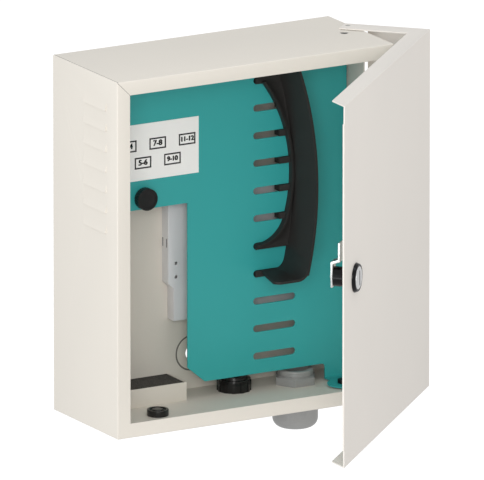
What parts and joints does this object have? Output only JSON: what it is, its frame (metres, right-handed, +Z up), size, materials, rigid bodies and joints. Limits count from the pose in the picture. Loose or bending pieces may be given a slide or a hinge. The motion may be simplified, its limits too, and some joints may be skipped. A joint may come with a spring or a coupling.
{
  "type": "fibre optic distribution box",
  "caption": "Wall box of folded painted steel with a lapped hinged door, cam lock, swing-out slotted panel with a fibre slack guide, and bottom cable entries.",
  "frame": {"origin": "centre of the outer face of the back, which lies on the wall", "axes": "+Z up, +Y into the wall, -Y out of the front opening, +X towards the hinge side"},
  "size_m": [0.3597, 0.3136, 0.3937],
  "materials": {
    "cream_paint": "satin powder coat",
    "teal_paint": "satin powder coat",
    "zinc": "zinc plated",
    "tray_metal": "grey coated sheet",
    "bright_steel": "bright zinc",
    "chrome": "polished",
    "black_screw": "black oxide",
    "black_plastic": "fine moulded",
    "grey_plastic": "satin moulded",
    "adapter_plastic": "moulded",
    "cap_plastic": "moulded",
    "black_rubber": "moulded",
    "foam": "open cell foam",
    "label_film": "printed film"
  },
  "bodies": {
    "housing": {"enclosure_shell": "cream_paint", "hinge_pins": "zinc", "entry_frame": "cream_paint", "entry_foam": "foam", "rubber_plug": "black_rubber", "gland_body": "grey_plastic", "gland_washer": "black_rubber", "gland_lock_nut": "grey_plastic", "gland_seal": "black_rubber", "small_gland_body": "black_plastic", "small_gland_lock_nut": "black_plastic", "small_gland_seal": "black_rubber", "splice_tray": "tray_metal", "tray_cover": "tray_metal", "splice_holders": "black_plastic", "screw_post": "zinc", "pivot_screws": "black_screw", "pivot_bushes": "zinc"},
    "door": {"door_skin": "cream_paint", "latch_barrel": "black_plastic", "latch_nut": "zinc"},
    "latch": {"latch_core": "chrome", "latch_cam": "bright_steel", "cam_bolt": "zinc"},
    "panel": {"swing_panel": "teal_paint", "port_label": "label_film", "slack_guide": "black_plastic", "port_shelf": "tray_metal", "dust_caps": "cap_plastic", "port_1_2": "adapter_plastic", "port_3_4": "adapter_plastic", "port_5_6": "adapter_plastic", "port_7_8": "adapter_plastic", "port_9_10": "adapter_plastic", "port_11_12": "adapter_plastic"},
    "thumb_screw": {"thumb_screw": "black_plastic", "thumb_clip": "zinc"},
    "gland_cap": {"gland_cap": "grey_plastic"},
    "small_gland_cap": {"small_gland_cap": "black_plastic"}
  },
  "joints": [
    {"name": "door_hinge", "type": "hinge", "parent": "housing", "child": "door", "pos_m": [0.1455, -0.0475, 0], "axis": [0, 0, 1], "range_deg": [-44.5, 75.5]},
    {"name": "latch_turn", "type": "hinge", "parent": "door", "child": "latch", "pos_m": [0.01628, -0.28595, 0], "axis": [0.7009, -0.7133, 0], "range_deg": [0, 90]},
    {"name": "panel_hinge", "type": "hinge", "parent": "housing", "child": "panel", "pos_m": [0.1315, -0.065, 0], "axis": [0, 0, 1], "range_deg": [0, 55]},
    {"name": "thumb_screw_turn", "type": "hinge", "parent": "panel", "child": "thumb_screw", "pos_m": [-0.074, -0.04, 0.033], "axis": [0, -1, 0], "continuous": true},
    {"name": "gland_cap_turn", "type": "hinge", "parent": "housing", "child": "gland_cap", "pos_m": [0.0966, -0.0322, -0.2], "axis": [0, 0, 1], "range_deg": [-360, 0]},
    {"name": "small_gland_cap_turn", "type": "hinge", "parent": "housing", "child": "small_gland_cap", "pos_m": [0.0323, -0.0264, -0.19], "axis": [0, 0, 1], "range_deg": [-360, 0]}
  ]
}
